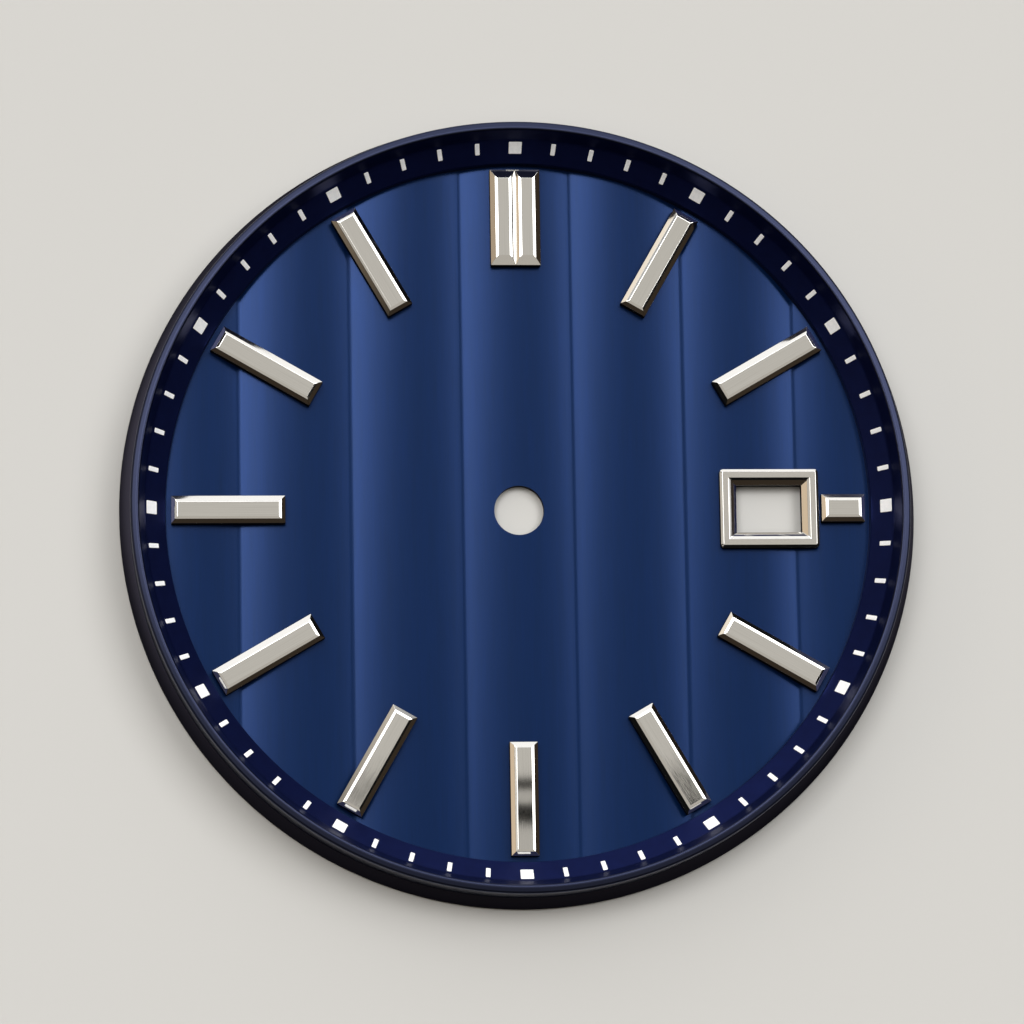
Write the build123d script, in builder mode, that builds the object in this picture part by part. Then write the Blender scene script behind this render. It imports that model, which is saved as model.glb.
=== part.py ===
from build123d import *
from math import ceil, cos, degrees, hypot, radians, sin
import os

os.makedirs("parts", exist_ok=True)

# A round watch dial for three hands and a date: a fluted plate, a raised chapter ring with
# printed marks, thirteen applied batons, a framed date window and two feet.
# Millimetres. The origin is on the dial's axis at the plate's back face, +Z points out of the
# face, +Y at twelve o'clock and +X at three. Clock angles run clockwise from twelve.

# Dial plate: a thin brass blank with vertical flutes pressed inside a flat turned border
plate_diameter = 33.3
plate_thickness = 0.4
centre_hole_diameter = 2.08
flute_pitch = 4.667
flute_depth = 0.12
groove_width = 0.2
groove_depth = 0.005
flute_sink = 0.02
flute_border = 0.01

# Chapter ring: a turned ring with a short upright lip, a sloped band for the marks, a steeper wall
# above it and a narrow land. The plate's border falls away outside it.
flange_width = 0.45
flange_fall = 0.16
land_width = 0.35
land_drop = 0.1
lip_rise = 0.4
band_run = 0.85
band_rise = 0.8
upper_wall_run = 0.25
upper_wall_rise = 0.85
cove_radius = 0.35
crown_rounding = 0.14
shoulder_radius = 0.12
peg_diameter = 0.5
peg_length = 0.32
peg_clock_angles = (75, 195, 315)

# Printed marks on the ring's band, one for every minute and a wide one for every hour
marks_round_dial = 60
marks_per_hour = 5
print_thickness = 0.03
minute_mark_width = 0.19
minute_mark_length = 0.55
hour_mark_width = 0.54
hour_mark_length = 0.57
mark_rise_share = 0.66

# Applied batons: cut bars with upright walls, a bevel and a flatter chamfer round the top
index_end_gap = 0.25
index_wall = 0.4
bevel_drop = 0.115
chamfer_drop = 0.032
chamfer_run = 0.1
side_bevel_run = 0.17
end_bevel_run = 0.16
baton_length = 4.73
baton_width = 1.16
short_baton_length = 1.82
twin_baton_length = 4.12
twin_baton_width = 1.05
twin_outer_bevel_run = 0.21
twin_inner_bevel_run = 0.15
twin_end_bevel_run = 0.3
index_foot_diameter = 0.36
index_foot_recess = 0.05
foot_spread_share = 0.3

# Date window: an applied frame with a sloped opening, located by a short spigot in the plate
window_width = 2.75
window_height = 2.0
window_slope_across = 0.23
window_slope_up = 0.19
window_slope_drop = 0.16
frame_land = 0.24
frame_chamfer_run = 0.115
frame_chamfer_drop = 0.05
frame_height = 0.4
frame_corner = 0.15
frame_top_corner = 0.04
frame_gap = 0.12
spigot_wall = 0.2
spigot_depth = 0.23

# Dial feet: copper pins brazed into spot-faced seats in the back, for the movement to grip
dial_foot_diameter = 0.75
dial_foot_length = 1.8
dial_foot_tip = 0.08
braze_diameter = 1.15
braze_height = 0.15
braze_seat_depth = 0.1
dial_foot_inset = 1.3
dial_foot_clock_angles = {"dial_foot_a": 38, "dial_foot_b": 222}

# Clearance all round each foot, peg and spigot in its hole, filled by the cement in a real dial
fit_clearance = 0.02

# Radii, from the rim inwards
plate_radius = plate_diameter / 2
ring_outer_radius = plate_radius - flange_width
crown_radius = ring_outer_radius - land_width
band_head_radius = crown_radius - upper_wall_run
ring_foot_radius = band_head_radius - band_run
fluted_radius = ring_foot_radius - flute_border
index_end_radius = ring_foot_radius - index_end_gap
peg_circle_radius = (ring_foot_radius + ring_outer_radius) / 2
peg_radius = peg_diameter / 2
index_foot_radius = index_foot_diameter / 2

# Levels
crest_level = plate_thickness - flute_sink
band_foot_level = plate_thickness + lip_rise
band_head_level = band_foot_level + band_rise
crown_level = band_head_level + upper_wall_rise

# Date window sizes, from the opening outwards
window_top_width = window_width + 2 * window_slope_across
window_top_height = window_height + 2 * window_slope_up
frame_width = window_top_width + 2 * (2 * frame_chamfer_run + frame_land)
frame_depth = window_top_height + 2 * (2 * frame_chamfer_run + frame_land)
spigot_width = window_width + 2 * spigot_wall
spigot_height = window_height + 2 * spigot_wall
frame_centre = index_end_radius - short_baton_length - frame_gap - frame_width / 2


def clock_point(angle, radius):
    """The point at a clock angle in degrees and a radius."""
    return radius * sin(radians(angle)), radius * cos(radians(angle))


def clock_plane(angle, radius, level):
    """A level plane centred at a clock angle and radius, its local X pointing outwards."""
    across, up = clock_point(angle, radius)
    outward = clock_point(angle, 1)
    return Plane(origin=(across, up, level), x_dir=(*outward, 0), z_dir=(0, 0, 1))


dial_foot_places = {
    name: clock_point(angle, plate_radius - dial_foot_inset)
    for name, angle in dial_foot_clock_angles.items()
}

# Every baton: clock angle, length, width, bevel at each end, bevels on its left and right as
# seen looking outwards, and how far its middle stands to the left of the hour's line
hour_step = 360 / 12
plain = (baton_width, end_bevel_run, side_bevel_run, side_bevel_run, 0)
twin_left = (twin_end_bevel_run, twin_outer_bevel_run, twin_inner_bevel_run, twin_baton_width / 2)
twin_right = (twin_end_bevel_run, twin_inner_bevel_run, twin_outer_bevel_run, -twin_baton_width / 2)
batons = {
    f"hour_index_{hour:02d}": (hour * hour_step, baton_length, *plain)
    for hour in (1, 2, 4, 5, 6, 7, 8, 9, 10, 11)
}
batons["hour_index_03"] = (3 * hour_step, short_baton_length, *plain)
batons["hour_index_12_left"] = (0, twin_baton_length, twin_baton_width, *twin_left)
batons["hour_index_12_right"] = (0, twin_baton_length, twin_baton_width, *twin_right)

# Dial plate, first the flutes: bars of one convex arc each, a shallow round groove between them
flutes_each_side = ceil(fluted_radius / flute_pitch - 1 / 2)
valley_level = crest_level - flute_depth
half_arc = (flute_pitch - groove_width) / 2
last_edge = (flutes_each_side + 1 / 2) * flute_pitch

with BuildPart() as fluted_face:
    with BuildSketch(Plane.XZ):
        with BuildLine():
            Polyline((last_edge - groove_width / 2, valley_level), (last_edge - groove_width / 2, 0),
                     (groove_width / 2 - last_edge, 0), (groove_width / 2 - last_edge, valley_level))
            for flute in range(-flutes_each_side, flutes_each_side + 1):
                middle = flute * flute_pitch
                ThreePointArc((middle - half_arc, valley_level), (middle, crest_level),
                              (middle + half_arc, valley_level))
                if flute < flutes_each_side:
                    edge = middle + flute_pitch / 2
                    ThreePointArc((edge - groove_width / 2, valley_level),
                                  (edge, valley_level - groove_depth),
                                  (edge + groove_width / 2, valley_level))
        make_face()
    extrude(amount=fluted_radius, both=True)
    with BuildSketch(Plane.XY):
        Circle(fluted_radius)
    extrude(amount=plate_thickness, mode=Mode.INTERSECT)

with BuildPart() as dial_plate:
    with BuildSketch(Plane.XZ):
        with BuildLine():
            Polyline((fluted_radius, 0), (plate_radius, 0), (plate_radius, plate_thickness - flange_fall),
                     (ring_outer_radius, plate_thickness), (fluted_radius, plate_thickness), close=True)
        make_face()
    revolve(axis=Axis.Z)
    add(fluted_face.part)
    with BuildSketch(Plane.XY):
        Circle(centre_hole_diameter / 2)
        with Locations((frame_centre, 0)):
            Rectangle(spigot_width + 2 * fit_clearance, spigot_height + 2 * fit_clearance)
        with Locations(*[clock_point(angle, peg_circle_radius) for angle in peg_clock_angles]):
            Circle(peg_radius + fit_clearance)
    extrude(amount=plate_thickness, mode=Mode.SUBTRACT)
    for angle, length, *_, shift in batons.values():
        with BuildSketch(clock_plane(angle, index_end_radius - length / 2, 0)):
            with Locations((-foot_spread_share * length, shift), (foot_spread_share * length, shift)):
                Circle(index_foot_radius + fit_clearance)
        extrude(amount=plate_thickness, mode=Mode.SUBTRACT)
    with BuildSketch(Plane.XY):
        with Locations(*dial_foot_places.values()):
            Circle(braze_diameter / 2 + fit_clearance)
    extrude(amount=braze_seat_depth, mode=Mode.SUBTRACT)
dial_plate.part.label = "dial_plate"
export_step(dial_plate.part, "parts/dial_plate.step")

# Chapter ring, turned in one piece with the pegs that locate it in the plate's border
with BuildPart() as chapter_ring:
    with BuildSketch(Plane.XZ) as ring_section:
        with BuildLine():
            Polyline((ring_foot_radius, plate_thickness), (ring_foot_radius, band_foot_level),
                     (band_head_radius, band_head_level), (crown_radius, crown_level),
                     (ring_outer_radius, crown_level - land_drop),
                     (ring_outer_radius, plate_thickness), close=True)
        make_face()
        cove, shoulder, crown = ring_section.vertices().sort_by(Axis.Y)[-3:]
        fillet(cove, radius=cove_radius)
        fillet(shoulder, radius=shoulder_radius)
        fillet(crown, radius=crown_rounding)
    revolve(axis=Axis.Z)
    with BuildSketch(Plane.XY.offset(plate_thickness)):
        with Locations(*[clock_point(angle, peg_circle_radius) for angle in peg_clock_angles]):
            Circle(peg_radius)
    extrude(amount=-peg_length)
chapter_ring.part.label = "chapter_ring"
export_step(chapter_ring.part, "parts/chapter_ring.step")

# Printed marks: each a thin strip of the band's own cone, turned through the mark's width
band_length = hypot(band_run, band_rise)
band_out = band_run / band_length
band_up = band_rise / band_length
mark_circle_radius = ring_foot_radius + mark_rise_share * band_run
mark_level = band_foot_level + mark_rise_share * band_rise


def printed_mark(length, width):
    """One mark at twelve o'clock, a strip on the band with its printed side facing the axis."""
    foot = (mark_circle_radius - band_out * length / 2, mark_level - band_up * length / 2)
    head = (mark_circle_radius + band_out * length / 2, mark_level + band_up * length / 2)
    lift = (-band_up * print_thickness, band_out * print_thickness)
    turn = degrees(width / mark_circle_radius)
    with BuildPart() as mark:
        with BuildSketch(Plane.YZ.rotated((0, 0, turn / 2))):
            with BuildLine():
                Polyline(foot, head, (head[0] + lift[0], head[1] + lift[1]),
                         (foot[0] + lift[0], foot[1] + lift[1]), close=True)
            make_face()
        revolve(axis=Axis.Z, revolution_arc=-turn)
    return mark.part


def mark_places(minutes):
    """Where the mark at twelve o'clock is copied to, one turn about the axis for each minute."""
    step = 360 / marks_round_dial
    return [Location((0, 0, 0), (0, 0, -minute * step)) for minute in minutes]


hours = range(0, marks_round_dial, marks_per_hour)
plain_minutes = [minute for minute in range(marks_round_dial) if minute not in hours]

minute_mark = printed_mark(minute_mark_length, minute_mark_width)
with BuildPart() as minute_marks:
    with Locations(*mark_places(plain_minutes)):
        add(minute_mark)
minute_marks.part.label = "minute_marks"
export_step(minute_marks.part, "parts/minute_marks.step")

hour_mark = printed_mark(hour_mark_length, hour_mark_width)
with BuildPart() as hour_marks:
    with Locations(*mark_places(hours)):
        add(hour_mark)
hour_marks.part.label = "hour_marks"
export_step(hour_marks.part, "parts/hour_marks.step")

# Applied batons, each standing on the flutes' crests with two feet in the plate
index_height = index_wall + bevel_drop + chamfer_drop
index_foot_length = crest_level - index_foot_recess

for name, (angle, length, width, end_run, left_run, right_run, shift) in batons.items():
    seat = clock_plane(angle, index_end_radius - length / 2, crest_level)
    top_shift = shift + (right_run - left_run) / 2
    rim_length = length - 2 * end_run
    rim_width = width - left_run - right_run
    with BuildPart() as index:
        with BuildSketch(seat):
            with Locations((0, shift)):
                Rectangle(length, width)
        extrude(amount=index_wall)
        with BuildSketch(seat.offset(index_wall)):
            with Locations((0, shift)):
                Rectangle(length, width)
        with BuildSketch(seat.offset(index_wall + bevel_drop)):
            with Locations((0, top_shift)):
                Rectangle(rim_length, rim_width)
        with BuildSketch(seat.offset(index_height)):
            with Locations((0, top_shift)):
                Rectangle(rim_length - 2 * chamfer_run, rim_width - 2 * chamfer_run)
        loft(ruled=True)
        with BuildSketch(seat):
            with Locations((-foot_spread_share * length, shift), (foot_spread_share * length, shift)):
                Circle(index_foot_radius)
        extrude(amount=-index_foot_length)
    index.part.label = name
    export_step(index.part, f"parts/{name}.step")

# Date frame: a chamfered rim round a sloped opening, with its spigot in the plate's aperture
frame_top = crest_level + frame_height
frame_wall_top = frame_top - frame_chamfer_drop
spigot_foot = crest_level - spigot_depth

with BuildPart() as date_frame:
    with BuildSketch(Plane.XY.offset(crest_level)):
        with Locations((frame_centre, 0)):
            RectangleRounded(frame_width, frame_depth, frame_corner)
    extrude(amount=frame_wall_top - crest_level)
    with BuildSketch(Plane.XY.offset(frame_wall_top)):
        with Locations((frame_centre, 0)):
            RectangleRounded(frame_width, frame_depth, frame_corner)
    with BuildSketch(Plane.XY.offset(frame_top)):
        with Locations((frame_centre, 0)):
            RectangleRounded(frame_width - 2 * frame_chamfer_run, frame_depth - 2 * frame_chamfer_run,
                             frame_top_corner)
    loft(ruled=True)
    with BuildSketch(Plane.XY.offset(crest_level)):
        with Locations((frame_centre, 0)):
            Rectangle(spigot_width, spigot_height)
    extrude(amount=-spigot_depth)
    with BuildSketch(Plane.XY.offset(frame_top)):
        with Locations((frame_centre, 0)):
            Rectangle(window_top_width + 2 * frame_chamfer_run,
                      window_top_height + 2 * frame_chamfer_run)
    with BuildSketch(Plane.XY.offset(frame_wall_top)):
        with Locations((frame_centre, 0)):
            Rectangle(window_top_width, window_top_height)
    with BuildSketch(Plane.XY.offset(frame_wall_top - window_slope_drop)):
        with Locations((frame_centre, 0)):
            Rectangle(window_width, window_height)
    loft(ruled=True, mode=Mode.SUBTRACT)
    with BuildSketch(Plane.XY.offset(spigot_foot)):
        with Locations((frame_centre, 0)):
            Rectangle(window_width, window_height)
    extrude(amount=frame_top - spigot_foot, mode=Mode.SUBTRACT)
date_frame.part.label = "date_frame"
export_step(date_frame.part, "parts/date_frame.step")

# Dial feet: a straight pin with a bevelled tip, on the disc and cone of braze that hold it
for name, place in dial_foot_places.items():
    with BuildPart() as dial_foot:
        with BuildSketch(Plane.XY):
            with Locations(place):
                Circle(dial_foot_diameter / 2)
        extrude(amount=-dial_foot_length)
        chamfer(dial_foot.faces().sort_by(Axis.Z)[0].edges(), length=dial_foot_tip)
        with BuildSketch(Plane.XY):
            with Locations(place):
                Circle(braze_diameter / 2)
        extrude(amount=braze_seat_depth)
        with BuildSketch(Plane.XY):
            with Locations(place):
                Circle(braze_diameter / 2)
        with BuildSketch(Plane.XY.offset(-braze_height)):
            with Locations(place):
                Circle(dial_foot_diameter / 2)
        loft(ruled=True)
    dial_foot.part.label = name
    export_step(dial_foot.part, f"parts/{name}.step")
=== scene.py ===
import bmesh
import bpy
import numpy as np
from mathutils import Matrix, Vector
from mathutils.geometry import delaunay_2d_cdt


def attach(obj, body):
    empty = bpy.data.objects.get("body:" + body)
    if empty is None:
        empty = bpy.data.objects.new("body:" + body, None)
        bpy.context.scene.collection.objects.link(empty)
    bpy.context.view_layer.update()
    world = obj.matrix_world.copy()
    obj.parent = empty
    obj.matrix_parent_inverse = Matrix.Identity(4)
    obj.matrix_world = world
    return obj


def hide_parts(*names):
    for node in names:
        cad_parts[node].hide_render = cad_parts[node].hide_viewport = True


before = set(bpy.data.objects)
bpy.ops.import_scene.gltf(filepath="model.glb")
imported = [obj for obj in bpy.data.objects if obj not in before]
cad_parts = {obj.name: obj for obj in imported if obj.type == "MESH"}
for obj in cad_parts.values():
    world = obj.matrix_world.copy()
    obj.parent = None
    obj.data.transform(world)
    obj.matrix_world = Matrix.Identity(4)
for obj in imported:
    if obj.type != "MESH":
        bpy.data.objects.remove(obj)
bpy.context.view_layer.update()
mm = 0.001

# Dial plate
# A brass blank 0.4 mm thick, pressed with vertical flutes inside a turned border that falls away
# outside the ring. Its face is brushed from twelve to six and lacquered blue, its back bare.
plate_radius = 16.65
plate_top = 0.4
flange_radius = 16.2
flange_fall = 0.16
fluted_radius = 14.74
crest_level = 0.38
flute_pitch = 4.667
flute_depth = 0.12
flute_power = 2
flutes_each_side = 4
groove_width = 0.2
groove_depth = 0.005
strips_per_flute = 24
strips_per_groove = 6
upright_margin = 0.1
centre_hole_radius = 1.04
hole_clearance = 0.02
rim_steps = 360


def clock_point(angle, radius):
    """The point at a clock angle in degrees, clockwise from twelve, and a radius."""
    turn = np.radians(angle)
    return np.stack([radius * np.sin(turn), radius * np.cos(turn)], -1)


def circle(centre, radius, steps):
    """Points round a circle: the centre plus the radius along evenly spaced clock angles."""
    return np.asarray(centre) + clock_point(np.arange(steps) * -360 / steps, radius)


def rectangle(centre, width, height):
    """The four corners of a rectangle about its centre."""
    corners = np.array([(-0.5, -0.5), (0.5, -0.5), (0.5, 0.5), (-0.5, 0.5)])
    return np.asarray(centre) + corners * (width, height)


def flute_level(x):
    """Height of the fluted face at x. Each flute falls from its crest as a power of the share of
    its half width, and a shallow round groove, flat in its middle, joins it to the next."""
    half = (flute_pitch - groove_width) / 2
    across = np.abs((np.asarray(x) + flute_pitch / 2) % flute_pitch - flute_pitch / 2)
    crown = flute_depth * np.minimum(across / half, 1) ** flute_power
    share = np.clip((across - half) / (groove_width / 2), 0, 1)
    return crest_level - crown - groove_depth * share * (2 - share)


def flute_edges(radius):
    """Where each upright line of the face stands: evenly over each flute and more closely over
    each groove, inside the radius."""
    half = (flute_pitch - groove_width) / 2
    steps = np.append(np.linspace(-half, half, strips_per_flute + 1),
                      np.linspace(half, half + groove_width, strips_per_groove + 1))
    flutes = np.arange(-flutes_each_side, flutes_each_side + 1)[:, None]
    xs = (flutes * flute_pitch + steps).ravel()
    return np.unique(np.round(xs[np.abs(xs) < radius - upright_margin], 6))


def inside(points, loop):
    """Whether each point lies in a closed loop: a ray to the right crosses it an odd count of times."""
    start, end = loop, np.roll(loop, -1, axis=0)
    x, y = points[:, 0, None], points[:, 1, None]
    spans = (start[:, 1] > y) != (end[:, 1] > y)
    rise = np.where(end[:, 1] == start[:, 1], 1, end[:, 1] - start[:, 1])
    crossing = start[:, 0] + (y - start[:, 1]) * (end[:, 0] - start[:, 0]) / rise
    return (spans & (x < crossing)).sum(1) % 2 == 1


def fill(loops, points, edges):
    """Triangles, turned upwards, that fill the first loop less the others and keep the edges."""
    corners = [Vector(p) for p in points.tolist()]
    made = delaunay_2d_cdt(corners, edges.tolist(), [], 0, 1e-5)
    flat, faces = np.array([tuple(p) for p in made[0]]), np.array(made[2])
    middle = flat[faces].mean(1)
    keep = inside(middle, loops[0])
    for loop in loops[1:]:
        keep &= ~inside(middle, loop)
    faces = faces[keep]
    a, b, c = (flat[faces[:, k]] for k in range(3))
    area = (b[:, 0] - a[:, 0]) * (c[:, 1] - a[:, 1]) - (c[:, 0] - a[:, 0]) * (b[:, 1] - a[:, 1])
    faces[area < 0] = faces[area < 0][:, ::-1]
    return flat, faces


def loop_edges(loops, start=0):
    """The points of closed loops in one array, and the edges round each, counted from a number."""
    edges = []
    for loop in loops:
        ring = start + np.arange(len(loop))
        edges.append(np.stack([ring, np.roll(ring, -1)], 1))
        start += len(loop)
    return np.concatenate(loops), np.concatenate(edges)


def open_edges(faces):
    """Edges that one triangle alone uses, in that triangle's direction."""
    edges = np.concatenate([faces[:, (0, 1)], faces[:, (1, 2)], faces[:, (2, 0)]])
    key = np.sort(edges, 1)
    _, first, count = np.unique(key, axis=0, return_index=True, return_counts=True)
    return edges[first[count == 1]]


def raised(flat, level):
    """Flat points as points in space at a level, one number or one for each."""
    return np.column_stack([flat, np.broadcast_to(level, len(flat))])


def wall(high, low):
    """Upright quads between two rows of edges, each given as start and end points."""
    count = len(high)
    corners = np.concatenate([high[:, 0], high[:, 1], low[:, 1], low[:, 0]])
    return corners, np.arange(4 * count).reshape(4, count).T[:, ::-1]


def net(rows, columns, rows_closed, columns_closed):
    """Quads of a grid whose points are numbered row by row, closed or open each way."""
    row = np.arange(rows if rows_closed else rows - 1)[:, None]
    column = np.arange(columns if columns_closed else columns - 1)
    next_row, next_column = (row + 1) % rows, (column + 1) % columns
    quads = [row * columns + column, next_row * columns + column,
             next_row * columns + next_column, row * columns + next_column]
    return np.stack([q.ravel() for q in quads], 1)


def solid(name, parts, sharp=25):
    """One object from parts of points in millimetres, faces and material number. Points that
    coincide are merged, normals turned outwards, and edges above the angle in degrees kept sharp."""
    points, faces, numbers, start = [], [], [], 0
    for corners, quads, number in parts:
        points.append(corners)
        faces += (np.asarray(quads) + start).tolist()
        numbers += [number] * len(quads)
        start += len(corners)
    mesh = bpy.data.meshes.new(name)
    mesh.from_pydata((np.concatenate(points) * mm).tolist(), [], faces)
    mesh.polygons.foreach_set("material_index", numbers)
    shape = bmesh.new()
    shape.from_mesh(mesh)
    bmesh.ops.remove_doubles(shape, verts=shape.verts, dist=2e-8)
    bmesh.ops.recalc_face_normals(shape, faces=shape.faces)
    shape.to_mesh(mesh)
    shape.free()
    mesh.shade_smooth()
    mesh.set_sharp_from_angle(angle=np.radians(sharp))
    piece = bpy.data.objects.new(name, mesh)
    bpy.context.collection.objects.link(piece)
    return piece


def finished(piece, slot, node, *materials):
    """Gives a piece its materials, hangs it on the root body, and hides the model's part it stands for.
    """
    for material in materials:
        piece.data.materials.append(material)
    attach(piece, "root")
    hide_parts(node)


def linear(colour):
    """An sRGB hex colour as linear red, green, blue and alpha."""
    share = np.array([int(colour[i:i + 2], 16) for i in (0, 2, 4)]) / 255
    value = np.where(share <= 0.04045, share / 12.92, ((share + 0.055) / 1.055) ** 2.4)
    return (*value, 1)


def dress(tree, node, inputs):
    """Sets a node's inputs: each is a value to set or a socket to link."""
    for name, value in inputs.items():
        if isinstance(value, bpy.types.NodeSocket):
            tree.links.new(value, node.inputs[name])
        else:
            node.inputs[name].default_value = value


def add(tree, kind, inputs={}, **settings):
    """Adds a node with its settings and its inputs."""
    node = tree.nodes.new("ShaderNode" + kind)
    for name, value in settings.items():
        setattr(node, name, value)
    dress(tree, node, inputs)
    return node


def new_material(name):
    """An empty node material, its shader and its node tree."""
    material = bpy.data.materials.new(name)
    material.use_nodes = True
    return material, material.node_tree, material.node_tree.nodes["Principled BSDF"]


def streaks(tree, vector, across, along):
    """Fine lines as noise stretched along Y: so many millimetres from line to line, and so long."""
    scale = (1 / (across * mm), 1 / (along * mm), 1 / (along * mm))
    placed = add(tree, "Mapping", {"Vector": vector, "Scale": scale})
    return add(tree, "TexNoise", {"Vector": placed.outputs[0], "Scale": 1.0, "Detail": 2.0,
                                  "Roughness": 0.6}).outputs[0]


def lathe_rings(tree, across):
    """Fine rings about the dial's axis as noise along the radius: so many millimetres to a ring."""
    place = add(tree, "TexCoord").outputs["Object"]
    flat = add(tree, "VectorMath", {0: place, 1: (1, 1, 0)}, operation="MULTIPLY").outputs[0]
    radius = add(tree, "VectorMath", {0: flat}, operation="LENGTH").outputs["Value"]
    step = add(tree, "Math", {0: radius, 1: 1 / (across * mm)}, operation="MULTIPLY").outputs[0]
    return add(tree, "TexNoise", {"W": step, "Scale": 1.0, "Detail": 3.0},
               noise_dimensions="1D").outputs[0]


def lacquered_face():
    """Blue transparent lacquer on brushed brass: the brushing shows as faint upright lines, and the
    clear coat adds a soft whitish gloss."""
    material, tree, shader = new_material("blue_lacquer_on_brushed_brass")
    place = add(tree, "TexCoord").outputs["Object"]
    fine = streaks(tree, place, 0.05, 2.0)
    broad = streaks(tree, place, 0.35, 9.0)
    grain = add(tree, "Mix", {"Factor": 0.4, "A": fine, "B": broad}).outputs[0]
    tone = add(tree, "ValToRGB", {"Fac": grain})
    tone.color_ramp.elements[0].position = 0.25
    tone.color_ramp.elements[0].color = linear("011F47")
    tone.color_ramp.elements[1].position = 0.75
    tone.color_ramp.elements[1].color = linear("022352")
    relief = add(tree, "Bump", {"Height": fine, "Strength": 0.2, "Distance": 0.004 * mm})
    dress(tree, shader, {"Base Color": tone.outputs[0], "Metallic": 0.53, "Roughness": 0.2,
                         "Specular IOR Level": 0.09, "Coat Weight": 0.165, "Coat Roughness": 0.2,
                         "Normal": relief.outputs[0]})
    return material


def black_lacquer():
    """Black lacquer on the turned border, which slopes outwards: it takes a dim, violet, soft gloss."""
    material, tree, shader = new_material("black_lacquer_on_turned_brass")
    place = add(tree, "TexCoord").outputs["Object"]
    peel = add(tree, "TexNoise", {"Vector": place, "Scale": 1 / (0.4 * mm), "Detail": 2.0}).outputs[0]
    tone = add(tree, "ValToRGB", {"Fac": peel})
    tone.color_ramp.elements[0].color = linear("030308")
    tone.color_ramp.elements[1].color = linear("06060E")
    relief = add(tree, "Bump", {"Height": peel, "Strength": 0.2, "Distance": 0.003 * mm})
    dress(tree, shader, {"Base Color": tone.outputs[0], "Roughness": 0.3, "Specular IOR Level": 0.14,
                         "Specular Tint": (0.8, 0.74, 1, 1), "Normal": relief.outputs[0]})
    return material


def painted_shade_edge():
    """Near-black painted shade on the plate's cut edges and the walls of the batons and the date frame,
    standing in for their shadow: it gives almost no light back, so that every opening and applied
    piece has a black outline."""
    material, tree, shader = new_material("painted_shade_black_edge")
    place = add(tree, "TexCoord").outputs["Object"]
    # Faint mottling in the painted shade's near-black tone.
    painted_shade_mottle = add(tree, "TexNoise", {"Vector": place, "Scale": 1 / (0.2 * mm), "Detail": 3.0}).outputs[0]
    tone = add(tree, "ValToRGB", {"Fac": painted_shade_mottle})
    tone.color_ramp.elements[0].color = linear("060506")
    tone.color_ramp.elements[1].color = linear("100E0D")
    dress(tree, shader, {"Base Color": tone.outputs[0], "Roughness": 0.7, "Specular IOR Level": 0.05})
    return material


def turned_lacquer():
    """Clear blue lacquer over matt turned brass with a faint orange peel: near black where it faces
    away from the light, and blue where it faces it."""
    material, tree, shader = new_material("blue_lacquer_on_turned_brass")
    place = add(tree, "TexCoord").outputs["Object"]
    peel = add(tree, "TexNoise", {"Vector": place, "Scale": 1 / (0.5 * mm), "Detail": 2.0}).outputs[0]
    tone = add(tree, "ValToRGB", {"Fac": peel})
    tone.color_ramp.elements[0].position = 0.3
    tone.color_ramp.elements[0].color = linear("171E46")
    tone.color_ramp.elements[1].position = 0.7
    tone.color_ramp.elements[1].color = linear("18204B")
    relief = add(tree, "Bump", {"Height": peel, "Strength": 0.15, "Distance": 0.002 * mm})
    dress(tree, shader, {"Base Color": tone.outputs[0], "Metallic": 0.8, "Roughness": 0.45,
                         "Specular IOR Level": 0.0, "Normal": relief.outputs[0]})
    return material


def satin_lacquer():
    """Blue lacquer rubbed satin over fine lathe rings: a lavender sheen on the crown and land."""
    material, tree, shader = new_material("satin_blue_lacquer_on_turned_brass")
    rings = lathe_rings(tree, 0.05)
    tone = add(tree, "ValToRGB", {"Fac": rings})
    tone.color_ramp.elements[0].position = 0.3
    tone.color_ramp.elements[0].color = linear("2A2E41")
    tone.color_ramp.elements[1].position = 0.7
    tone.color_ramp.elements[1].color = linear("2F3347")
    relief = add(tree, "Bump", {"Height": rings, "Strength": 0.2, "Distance": 0.002 * mm})
    dress(tree, shader, {"Base Color": tone.outputs[0], "Metallic": 1.0, "Roughness": 0.36,
                         "Normal": relief.outputs[0]})
    return material


def turned_back():
    """Bare turned brass: fine rings from the lathe about the dial's axis."""
    material, tree, shader = new_material("turned_bare_brass")
    rings = lathe_rings(tree, 0.09)
    tone = add(tree, "ValToRGB", {"Fac": rings})
    tone.color_ramp.elements[0].color = linear("B08D4A")
    tone.color_ramp.elements[1].color = linear("D9B872")
    relief = add(tree, "Bump", {"Height": rings, "Strength": 0.35, "Distance": 0.01 * mm})
    dress(tree, shader, {"Base Color": tone.outputs[0], "Metallic": 1.0, "Roughness": 0.32,
                         "Normal": relief.outputs[0]})
    return material


# Each baton: clock angle, length, width, how far its bevels run in at its ends, on its left and on
# its right as seen looking outwards, and how far its middle stands to the left of the hour's line.
hour_step = 30
index_end_radius = 14.5
foot_spread_share = 0.3
index_foot_radius = 0.18
baton_length = 4.73
short_baton_length = 1.82
plain_baton = (1.16, 0.16, 0.17, 0.17, 0)
twin_baton = (0, 4.12, 1.05, 0.3)
twin_shift = 0.525
batons = {f"hour_index_{hour:02d}": (hour * hour_step, baton_length, *plain_baton)
          for hour in (1, 2, 4, 5, 6, 7, 8, 9, 10, 11)}
batons["hour_index_03"] = (3 * hour_step, short_baton_length, *plain_baton)
batons["hour_index_12_left"] = (*twin_baton, 0.21, 0.15, twin_shift)
batons["hour_index_12_right"] = (*twin_baton, 0.15, 0.21, -twin_shift)
frame_centre = 10.485
spigot_size = (3.15, 2.4)
peg_radius = 0.25
peg_circle_radius = 15.475
peg_places = clock_point(np.array([75, 195, 315]), peg_circle_radius)
dial_foot_circle_radius = 15.35
dial_foot_places = {"dial_foot_a": clock_point(38, dial_foot_circle_radius),
                    "dial_foot_b": clock_point(222, dial_foot_circle_radius)}
braze_radius = 0.575
braze_seat_depth = 0.1


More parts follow.
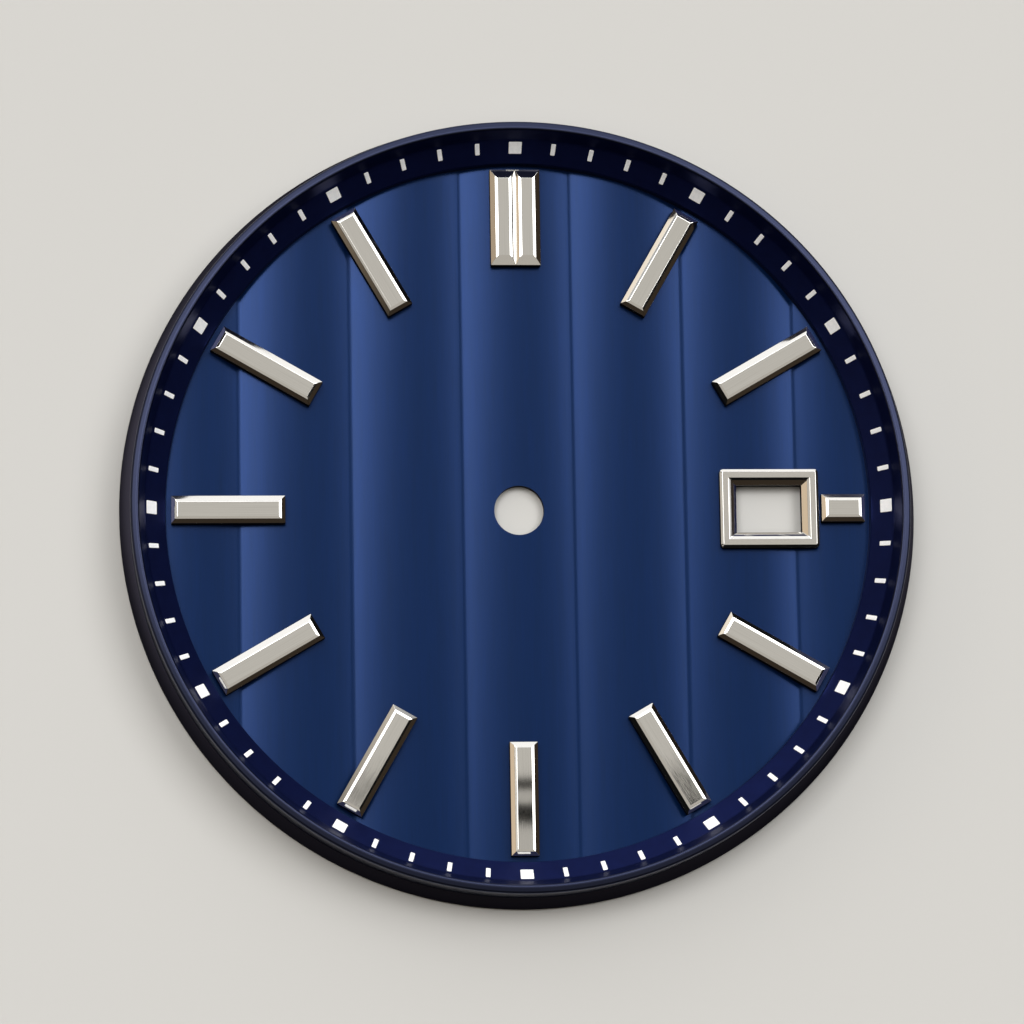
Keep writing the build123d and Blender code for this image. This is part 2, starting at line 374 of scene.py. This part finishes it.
def baton_foot_places():
    """Two places for each baton, a share of its length either side of its middle."""
    places = []
    for angle, length, *_, shift in batons.values():
        outward = clock_point(angle, 1)
        leftward = clock_point(angle - 90, 1)
        middle = outward * (index_end_radius - length / 2) + leftward * shift
        places += [middle - outward * foot_spread_share * length,
                   middle + outward * foot_spread_share * length]
    return places


def dial_plate():
    """The plate as one closed shell: flutes and border on top, walls in every hole, a flat back
    and the two blind seats in it."""
    columns = flute_edges(fluted_radius)
    ends = np.degrees(np.arcsin(columns / fluted_radius))
    angles = np.concatenate([np.arange(rim_steps) * 360 / rim_steps, ends, 180 - ends]) % 360
    rim = clock_point(np.unique(np.round(angles, 4))[::-1], fluted_radius)
    reach = np.sqrt(fluted_radius ** 2 - columns ** 2)
    lines = np.stack([np.stack([columns, -reach], 1), np.stack([columns, reach], 1)], 1)
    opening = rectangle((frame_centre, 0), *(np.array(spigot_size) + 2 * hole_clearance))
    holes = [circle((0, 0), centre_hole_radius, steps=96), opening]
    holes += [circle(p, index_foot_radius + hole_clearance, steps=16) for p in baton_foot_places()]
    points, edges = loop_edges([rim, *holes])
    uprights = len(points) + np.arange(2 * len(lines)).reshape(-1, 2)
    points = np.concatenate([points, lines.reshape(-1, 2)])
    face, face_fill = fill([rim, *holes], points, np.concatenate([edges, uprights]))

    border_loops = [circle((0, 0), flange_radius, rim_steps), rim]
    border_loops += [circle(p, peg_radius + hole_clearance, steps=24) for p in peg_places]
    border, border_fill = fill(border_loops, *loop_edges(border_loops))
    outer = circle((0, 0), plate_radius, rim_steps)
    flange = np.concatenate([raised(border_loops[0], plate_top),
                             raised(outer, plate_top - flange_fall), raised(outer, 0)])
    flange_faces = net(3, rim_steps, False, True)

    edge_face = open_edges(face_fill)
    edge_border = open_edges(border_fill)
    radius_face = np.hypot(*face[edge_face].mean(1).T)
    radius_border = np.hypot(*border[edge_border].mean(1).T)
    step = edge_face[radius_face > fluted_radius - groove_width]
    peg_holes = np.abs(radius_border - peg_circle_radius) < peg_radius + 2 * hole_clearance
    through = np.concatenate([face[edge_face[radius_face < fluted_radius - groove_width]],
                              border[edge_border[peg_holes]]])
    level = np.where(np.hypot(*through.reshape(-1, 2).T) < fluted_radius,
                     flute_level(through[..., 0].ravel()), plate_top)
    through_top = raised(through.reshape(-1, 2), level).reshape(-1, 2, 3)
    through_foot = through_top * (1, 1, 0)

    seats = [circle(p, braze_radius + hole_clearance, steps=32) for p in dial_foot_places.values()]
    loop_points, loop_pairs = loop_edges([*seats, outer], 2 * len(through))
    back_points = np.concatenate([through.reshape(-1, 2), loop_points])
    back_edges = np.concatenate([np.arange(2 * len(through)).reshape(-1, 2), loop_pairs])
    back_loops = [outer, *holes, *border_loops[2:], *seats]
    back, back_fill = fill(back_loops, back_points, back_edges)
    ceiling, ceiling_fill = fill([seats[0]], *loop_edges(seats))
    ceiling_b, ceiling_fill_b = fill([seats[1]], *loop_edges(seats))
    seat_pairs = loop_points[loop_pairs[:-rim_steps] - 2 * len(through)]
    seat_foot = raised(seat_pairs.reshape(-1, 2), 0).reshape(-1, 2, 3)
    rise = raised(face[step].reshape(-1, 2), flute_level(face[step][..., 0].ravel()))
    rise = rise.reshape(-1, 2, 3)
    rise_top = rise.copy()
    rise_top[..., 2] = plate_top
    return solid("blue_dial_plate", [
        (raised(face, flute_level(face[:, 0])), face_fill, 0),
        (raised(border, plate_top), border_fill, 2),
        (flange, flange_faces[:rim_steps], 2),
        # The plate's outer wall takes the near-black painted shade.
        (flange, flange_faces[rim_steps:], 3),
        (*wall(rise_top, rise), 2),
        # The walls of every hole through the plate take the near-black painted shade.
        (*wall(through_top, through_foot), 3),
        (raised(back, 0), back_fill, 1),
        (*wall(seat_foot + (0, 0, braze_seat_depth), seat_foot), 1),
        (raised(ceiling, braze_seat_depth), ceiling_fill, 1),
        (raised(ceiling_b, braze_seat_depth), ceiling_fill_b, 1)])


painted_shade = painted_shade_edge()
finished(dial_plate(), "lacquered_brass_plate", "dial_plate", lacquered_face(), turned_back(),
         black_lacquer(), painted_shade)

# Chapter ring
# A turned brass ring under blue lacquer, rubbed satin on its crown and land. A short upright lip
# carries the sloped band for the marks, a steeper wall rises from it to a narrow land, and three
# pegs locate the ring in the plate's border.
ring_foot_radius = 14.75
band_foot_level = 0.8
band_head_radius = 15.6
band_head_level = 1.6
crown_radius = 15.85
crown_level = 2.45
land_drop = 0.1
ring_rounding = (0, 0.03, 0.09, 0.13, 0.1, 0.03)
satin_from = 21  # the outline's strip, early in the curve of the crown, where the satin begins
peg_tip_level = 0.08
peg_tip_break = 0.03
root_depth = 0.05


def rounded(corners, radii, steps=6, hold=0.01):
    """A closed outline with each corner rounded: a curve drawn by the corner leaves one side and
    meets the next at the corner's distance, with a point just outside each end to hold the sides."""
    outline = []
    for corner, distance in enumerate(radii):
        here, before = corners[corner], corners[corner - 1]
        after = corners[(corner + 1) % len(corners)]
        if distance == 0:
            outline.append(here[None])
            continue
        back = (before - here) / np.hypot(*(before - here))
        on = (after - here) / np.hypot(*(after - here))
        share = np.linspace(0, 1, steps + 1)[:, None]
        curve = here + distance * ((1 - share) ** 2 * back + share ** 2 * on)
        outline += [here[None] + (distance + hold) * back, curve,
                    here[None] + (distance + hold) * on]
    return np.concatenate(outline)


def revolved(outline, steps, centre=(0, 0)):
    """A closed outline of radius and height carried round an upright axis."""
    turned = clock_point(np.arange(steps)[:, None] * 360 / steps, outline[:, 0])
    heights = np.broadcast_to(outline[:, 1], turned.shape[:2])
    points = np.concatenate([turned + np.asarray(centre), heights[..., None]], -1)
    return points.reshape(-1, 3), net(steps, len(outline), True, True)


ring_corners = np.array([(ring_foot_radius, plate_top), (ring_foot_radius, band_foot_level),
                         (band_head_radius, band_head_level), (crown_radius, crown_level),
                         (flange_radius, crown_level - land_drop), (flange_radius, plate_top)])
ring_outline = rounded(ring_corners, ring_rounding)
peg_outline = np.array([(0, peg_tip_level), (peg_radius - peg_tip_break, peg_tip_level),
                        (peg_radius, peg_tip_level + peg_tip_break),
                        (peg_radius, plate_top + root_depth), (0, plate_top + root_depth)])
ring_points, ring_faces = revolved(ring_outline, rim_steps)
strip = np.arange(len(ring_faces)) % len(ring_outline)
finish = (strip >= satin_from).astype(int)
ring = solid("chapter_ring_turned",
             [(ring_points, ring_faces[finish == number], number) for number in range(2)]
             + [(*revolved(peg_outline, 32, place), 1) for place in peg_places], sharp=40)
finished(ring, "lacquered_brass_ring", "chapter_ring", turned_lacquer(), satin_lacquer())

# Printed marks
# White ink, pad-printed on the ring's band: one strip for every minute and a near-square block for
# every hour. The ink stands a little proud of the lacquer and has softly rounded corners.
slope = np.array([band_head_radius - ring_foot_radius, band_head_level - band_foot_level])
mark_share = 0.66
mark_radius, mark_level = (ring_foot_radius, band_foot_level) + mark_share * slope
slope = slope / np.hypot(*slope)
minute_mark = (0.19, 0.55)
hour_mark = (0.54, 0.57)
minute_step = 6
ink_thickness = 0.016
ink_sink = 0.005
ink_corner = 0.035


def rounded_loop(width, height, corner, steps=5):
    """A rectangle with round corners about the origin: each corner's quarter circle in turn."""
    turn = np.linspace(0, np.pi / 2, steps)
    quarter = np.stack([np.cos(turn), np.sin(turn)], 1) * corner
    arcs = []
    for spin in range(4):
        c, s = np.cos(spin * np.pi / 2), np.sin(spin * np.pi / 2)
        sign = np.array([(1, 1), (-1, 1), (-1, -1), (1, -1)])[spin]
        arcs.append(quarter @ np.array([(c, s), (-s, c)])
                    + sign * (width / 2 - corner, height / 2 - corner))
    return np.concatenate(arcs)


def ink_mark(minute, width, length):
    """One mark: loops of a rounded rectangle, from just under the slope to the ink's top and inwards.
    A point is so far round the ring, so far up the slope and so far off it."""
    loops = [(0, -ink_sink), (0, 0.6 * ink_thickness), (0.012, ink_thickness), (0.04, ink_thickness)]
    rows = []
    for inset, off in loops:
        flat = rounded_loop(width - 2 * inset, length - 2 * inset, max(ink_corner - inset, 0.002))
        radius = mark_radius + slope[0] * flat[:, 1] - slope[1] * off
        level = mark_level + slope[1] * flat[:, 1] + slope[0] * off
        angle = minute * minute_step + np.degrees(flat[:, 0] / mark_radius)
        rows.append(np.column_stack([clock_point(angle, radius), level]))
    count = len(rows[0])
    return np.concatenate(rows), net(len(rows), count, False, True), count


def ink_marks(name, minutes, width, length):
    """Every mark of one size in one mesh, each a closed solid."""
    parts = []
    for minute in minutes:
        points, sides, count = ink_mark(minute, width, length)
        cap = np.arange(len(points) - count, len(points))
        foot = np.arange(count)
        parts += [(points, sides, 0), (points[cap], [np.arange(count)], 0),
                  (points[foot], [np.arange(count)[::-1]], 0)]
    return solid(name, parts, sharp=50)


def printed_ink():
    """Matt white pad-printing ink, a little uneven in density."""
    material, tree, shader = new_material("white_pad_printing_ink")
    place = add(tree, "TexCoord").outputs["Object"]
    cover = add(tree, "TexNoise", {"Vector": place, "Scale": 1 / (0.12 * mm)}).outputs[0]
    tone = add(tree, "ValToRGB", {"Fac": cover})
    tone.color_ramp.elements[0].position = 0.3
    tone.color_ramp.elements[0].color = linear("EEF0F2")
    tone.color_ramp.elements[1].position = 0.7
    tone.color_ramp.elements[1].color = linear("FAFAFA")
    relief = add(tree, "Bump", {"Height": cover, "Strength": 0.2, "Distance": 0.003 * mm})
    dress(tree, shader, {"Base Color": tone.outputs[0], "Roughness": 0.55,
                         "Normal": relief.outputs[0]})
    return material


white_ink = printed_ink()
hours = list(range(0, 60, 5))
minutes = [minute for minute in range(60) if minute not in hours]
minute_marks = ink_marks("printed_minute_marks", minutes, *minute_mark)
hour_marks = ink_marks("printed_hour_marks", hours, *hour_mark)
finished(minute_marks, "white_print", "minute_marks", white_ink)
finished(hour_marks, "white_print", "hour_marks", white_ink)

# Applied batons
# Bars of brass cut with a diamond tool and rhodium plated: upright walls coloured near black as painted
# shade, a polished bevel, a flatter polished chamfer and a top brushed along its length. Two feet each
# stand in the plate.
index_wall = 0.4
bevel_drop = 0.115
chamfer_drop = 0.032
chamfer_run = 0.1
index_foot_recess = 0.05
edge_break = 0.01


def baton_top():
    """Rhodium plate over fine brushing along the baton, drawn coarse enough to show."""
    material, tree, shader = new_material("brushed_rhodium_plate")
    place = add(tree, "UVMap", uv_map="bar").outputs[0]
    lines = add(tree, "Mapping", {"Vector": place, "Scale": (1 / (3 * mm), 1 / (0.03 * mm), 1)})
    grain = add(tree, "TexNoise", {"Vector": lines.outputs[0], "Scale": 1.0, "Detail": 2.0}).outputs[0]
    tone = add(tree, "ValToRGB", {"Fac": grain})
    tone.color_ramp.elements[0].position = 0.3
    tone.color_ramp.elements[0].color = linear("CECECC")
    tone.color_ramp.elements[1].position = 0.7
    tone.color_ramp.elements[1].color = linear("D6D6D4")
    relief = add(tree, "Bump", {"Height": grain, "Strength": 0.1, "Distance": 0.002 * mm})
    dress(tree, shader, {"Base Color": tone.outputs[0], "Metallic": 1.0, "Roughness": 0.02,
                         "Normal": relief.outputs[0]})
    return material


def cut_facet():
    """Diamond-cut, polished rhodium plate: a mirror with the faintest tool haze."""
    material, tree, shader = new_material("diamond_cut_rhodium_plate")
    place = add(tree, "TexCoord").outputs["Object"]
    haze = add(tree, "TexNoise", {"Vector": place, "Scale": 1 / (0.4 * mm), "Detail": 3.0}).outputs[0]
    gloss = add(tree, "MapRange", {"Value": haze, "To Min": 0.03, "To Max": 0.09}).outputs[0]
    dress(tree, shader, {"Base Color": linear("D4D2CE"), "Metallic": 1.0, "Roughness": gloss})
    return material


def break_edges(piece, limit):
    """Breaks every edge above the angle in degrees with a fine rounding that catches the light."""
    broken = piece.modifiers.new("broken edges", "BEVEL")
    broken.width = edge_break * mm
    broken.segments = 2
    broken.angle_limit = np.radians(limit)
    broken.harden_normals = True


def baton(name, angle, length, width, end_run, left_run, right_run, shift):
    """A bar as four rectangles, one over the other, and a top: the bar's foot, the top of its walls,
    the top of its bevel and the top of its chamfer."""
    insets = [(0, 0, 0, 0), (0, 0, 0, 0), (end_run, end_run, right_run, left_run),
              (end_run + chamfer_run, end_run + chamfer_run, right_run + chamfer_run,
               left_run + chamfer_run)]
    levels = crest_level + np.cumsum([0, index_wall, bevel_drop, chamfer_drop])
    rows = []
    for (near, far, right, left), level in zip(insets, levels):
        along = np.array([near, length - far, length - far, near]) - length / 2
        across = np.array([right, right, width - left, width - left]) - width / 2
        rows.append(np.column_stack([along, across, np.full(4, level)]))
    bar = np.concatenate(rows)
    outward, leftward = clock_point(angle, 1), clock_point(angle - 90, 1)
    middle = outward * (index_end_radius - length / 2) + leftward * shift
    placed = np.column_stack([middle + bar[:, :1] * outward + bar[:, 1:2] * leftward, bar[:, 2]])
    foot = np.array([(0, index_foot_recess), (index_foot_radius, index_foot_recess),
                     (index_foot_radius, crest_level + root_depth), (0, crest_level + root_depth)])
    reach = foot_spread_share * length * outward
    sides = net(4, 4, False, True)
    # The walls, underside and feet take the near-black painted shade, the bevel and chamfer the polish.
    piece = solid(name, [(placed, sides[:4], 2), (placed, sides[4:], 1),
                         (placed[12:], [(0, 1, 2, 3)], 0), (placed[:4], [(3, 2, 1, 0)], 2),
                         (*revolved(foot, 20, middle - reach), 2),
                         (*revolved(foot, 20, middle + reach), 2)], sharp=10)
    corners = np.empty(len(piece.data.loops), int)
    piece.data.loops.foreach_get("vertex_index", corners)
    points = np.empty(3 * len(piece.data.vertices))
    piece.data.vertices.foreach_get("co", points)
    flat = points.reshape(-1, 3)[corners, :2] - middle * mm
    chart = np.stack([flat @ outward, flat @ leftward], 1)
    piece.data.uv_layers.new(name="bar").data.foreach_set("uv", chart.ravel())
    break_edges(piece, limit=8)
    return piece


brushed, polished = baton_top(), cut_facet()
for name, shape in batons.items():
    finished(baton(name.replace("hour_index", "applied_baton"), *shape), "cut_plated_brass", name,
             brushed, polished, painted_shade)

# Date frame
# A small rhodium-plated rim with polished chamfers round a satin land. Its opening slopes down to
# the date, and a short spigot sits in the plate's aperture.
window = np.array([2.75, 2.0])
window_slope = np.array([0.23, 0.19])
frame_land = 0.24
frame_chamfer = 0.115
frame_chamfer_drop = 0.05
frame_height = 0.4
frame_corner = 0.15
frame_top_corner = 0.04
window_corner = 0.02
spigot_depth = 0.23
window_slope_drop = 0.16


def frame_satin():
    """Rhodium plate over a satin grain, the land between the two bright chamfers."""
    material, tree, shader = new_material("satin_rhodium_plate")
    place = add(tree, "TexCoord").outputs["Object"]
    grain = add(tree, "TexNoise", {"Vector": place, "Scale": 1 / (0.05 * mm), "Detail": 2.0}).outputs[0]
    relief = add(tree, "Bump", {"Height": grain, "Strength": 0.2, "Distance": 0.003 * mm})
    gloss = add(tree, "MapRange", {"Value": grain, "To Min": 0.09, "To Max": 0.14}).outputs[0]
    dress(tree, shader, {"Base Color": linear("CCCBC8"), "Metallic": 1.0, "Roughness": gloss,
                         "Normal": relief.outputs[0]})
    return material


def date_frame():
    """Rounded rectangles carried from the foot of the outer wall over the rim and down the opening
    to the spigot, and back under the rim."""
    top = crest_level + frame_height
    shoulder = top - frame_chamfer_drop
    rim = window + 2 * window_slope
    inner = rim + 2 * frame_chamfer
    land = inner + 2 * frame_land
    outer = land + 2 * frame_chamfer
    spigot = np.array(spigot_size)
    foot = crest_level - spigot_depth
    loops = [(outer, frame_corner, crest_level), (outer, frame_corner, shoulder),
             (land, frame_top_corner, top), (inner, window_corner, top),
             (rim, window_corner, shoulder), (window, window_corner, shoulder - window_slope_drop),
             (window, window_corner, foot), (spigot, window_corner, foot),
             (spigot, window_corner, crest_level)]
    satin, bright, dark = range(3)
    # The outer wall, the window's upright sides, the spigot and the underside take the near-black
    # painted shade.
    strip_finish = [dark, bright, satin, bright, bright, dark, dark, dark, dark]
    rows = []
    for size, corner, level in loops:
        rows.append(raised(rounded_loop(*size, corner, steps=12) + (frame_centre, 0), level))
    faces = net(len(rows), len(rows[0]), True, True)
    points = np.concatenate(rows)
    finish = np.repeat(strip_finish, len(rows[0]))
    piece = solid("applied_date_frame",
                  [(points, faces[finish == number], number) for number in range(3)], sharp=10)
    break_edges(piece, limit=10)
    return piece


finished(date_frame(), "plated_frame", "date_frame", frame_satin(), polished, painted_shade)

# Dial feet
# Two drawn copper pins brazed into seats in the plate's back. The movement grips them, and they lie
# out of line, so that the dial goes on one way round.
dial_foot_radius = 0.375
dial_foot_length = 1.8
dial_foot_tip = 0.08
braze_height = 0.15
dial_foot_rounding = (0, 0, 0.02, 0.05, 0.02, 0.02, 0)


def drawn_copper():
    """Drawn copper wire, dulled by the brazing heat."""
    material, tree, shader = new_material("drawn_copper_wire")
    place = add(tree, "TexCoord").outputs["Object"]
    stain = add(tree, "TexNoise", {"Vector": place, "Scale": 1 / (0.6 * mm), "Detail": 4.0}).outputs[0]
    tone = add(tree, "ValToRGB", {"Fac": stain})
    tone.color_ramp.elements[0].color = linear("9A5A3A")
    tone.color_ramp.elements[1].color = linear("DB9A73")
    gloss = add(tree, "MapRange", {"Value": stain, "To Min": 0.5, "To Max": 0.25}).outputs[0]
    dress(tree, shader, {"Base Color": tone.outputs[0], "Metallic": 1.0, "Roughness": gloss})
    return material


copper = drawn_copper()
foot_corners = np.array([(0, braze_seat_depth), (braze_radius, braze_seat_depth), (braze_radius, 0),
                         (dial_foot_radius, -braze_height),
                         (dial_foot_radius, -dial_foot_length + dial_foot_tip),
                         (dial_foot_radius - dial_foot_tip, -dial_foot_length),
                         (0, -dial_foot_length)])
foot_outline = rounded(foot_corners, dial_foot_rounding)
for name, place in dial_foot_places.items():
    pin = solid(name.replace("dial_foot", "brazed_foot"), [(*revolved(foot_outline, 48, place), 0)])
    finished(pin, "copper_foot", name, copper)

# Stage
# A plain pale floor under the plate's back, soft studio cards all round, and a camera at the
# photograph's angle.
floor_reach = 0.6
floor_level = -0.01 * mm
corners = rectangle((0, 0), 2 * floor_reach, 2 * floor_reach)
floor_mesh = bpy.data.meshes.new("floor")
floor_mesh.from_pydata(raised(corners, floor_level).tolist(), [], [(0, 1, 2, 3)])
floor = bpy.data.objects.new("floor", floor_mesh)
bpy.context.collection.objects.link(floor)
floor_material, tree, shader = new_material("pale_floor")
dress(tree, shader, {"Base Color": linear("C2C1BE"), "Roughness": 0.9})
floor_mesh.materials.append(floor_material)

# Each card: the clock angle it stands towards, degrees down from overhead, how wide and how deep it
# looks in degrees, the softness of its edge, its colour and its strength.
cards = {
    "far panel": (359, 15, 85, 17.38, 0.1, "FFF9EF", 0.715),
    "near panel": (186, 12.3, 64, 37.2, 0.08, "FFF9EF", 0.62),
    "strip": (0, 6.17, 60, 0.17, 0.06, "FFF9EF", 0.62),
    "left": (321, 24.3, 32.4, 24.4, 6.3, "FFFFFF", 6.0),
    "right": (55.4, 35.6, 38.6, 30, 4, "FFFFFF", 4.66),
    "twelve": (355, 64, 68, 53, 4, "FFFFFF", 1.42),
    "warm": (276.6, 66, 41, 26, 7, "FFE6C6", 0.9),
    "ten": (318.8, 70, 20, 15.4, 6.6, "FFF4E4", 1.28),
    "south": (180, 68, 90, 44, 10, "FFD9B0", 0.038),
    "east": (95, 74, 70, 36, 10, "FFD9B0", 0.04),
}
world = bpy.data.worlds.new("studio")
world.use_nodes = True
tree = world.node_tree
direction = add(tree, "TexCoord").outputs["Generated"]
room_light = 0.007
light = (room_light, room_light, room_light)
for clock, lean, wide, deep, soft, colour, strength in cards.values():
    toward, turn = np.radians(clock), np.radians(lean)
    centre = (np.sin(turn) * np.sin(toward), np.sin(turn) * np.cos(toward), np.cos(turn))
    side = (np.cos(toward), -np.sin(toward), 0)
    down = np.cross(centre, side)
    dots = [add(tree, "VectorMath", {0: direction, 1: tuple(axis)}, operation="DOT_PRODUCT")
            for axis in (centre, side, down)]
    ahead = add(tree, "Math", {0: dots[0].outputs["Value"], 1: 0.01}, operation="MAXIMUM").outputs[0]
    share = None
    for dot, spread in zip(dots[1:], (wide, deep)):
        slant = add(tree, "Math", {0: dot.outputs["Value"], 1: ahead}, operation="DIVIDE").outputs[0]
        size = add(tree, "Math", {0: slant}, operation="ABSOLUTE").outputs[0]
        full = np.tan(np.radians(spread / 2 - soft / 2))
        gone = np.tan(np.radians(spread / 2 + soft / 2))
        edge = add(tree, "MapRange", {"Value": size, "From Min": full, "From Max": gone,
                                      "To Min": 1.0, "To Max": 0.0},
                   interpolation_type="SMOOTHSTEP").outputs[0]
        share = edge if share is None else add(tree, "Math", {0: share, 1: edge},
                                               operation="MULTIPLY").outputs[0]
    tint = tuple(strength * c for c in linear(colour)[:3])
    glow = add(tree, "VectorMath", {0: tint, "Scale": share}, operation="SCALE").outputs[0]
    light = add(tree, "VectorMath", {0: light, 1: glow}, operation="ADD").outputs[0]
seen = add(tree, "LightPath").outputs["Is Camera Ray"]
backdrop = linear("CFCFC8")[:3]
shown = add(tree, "Mix", {"Factor": seen, "A": light, "B": backdrop}, data_type="VECTOR")
tree.links.new(shown.outputs[1], tree.nodes["Background"].inputs["Color"])
bpy.context.scene.world = world

camera_place = np.array([-16.344, -33.174, 196.221]) * mm
camera_turn = np.radians([9.6358, -4.5264, -0.9233])
lens = bpy.data.cameras.new("camera")
lens.lens = 167.84
lens.sensor_width = 36
lens.clip_start = 0.01
camera = bpy.data.objects.new("camera", lens)
camera.location = camera_place
camera.rotation_euler = camera_turn
bpy.context.collection.objects.link(camera)
bpy.context.scene.camera = camera
bpy.context.scene.view_settings.view_transform = "Standard"
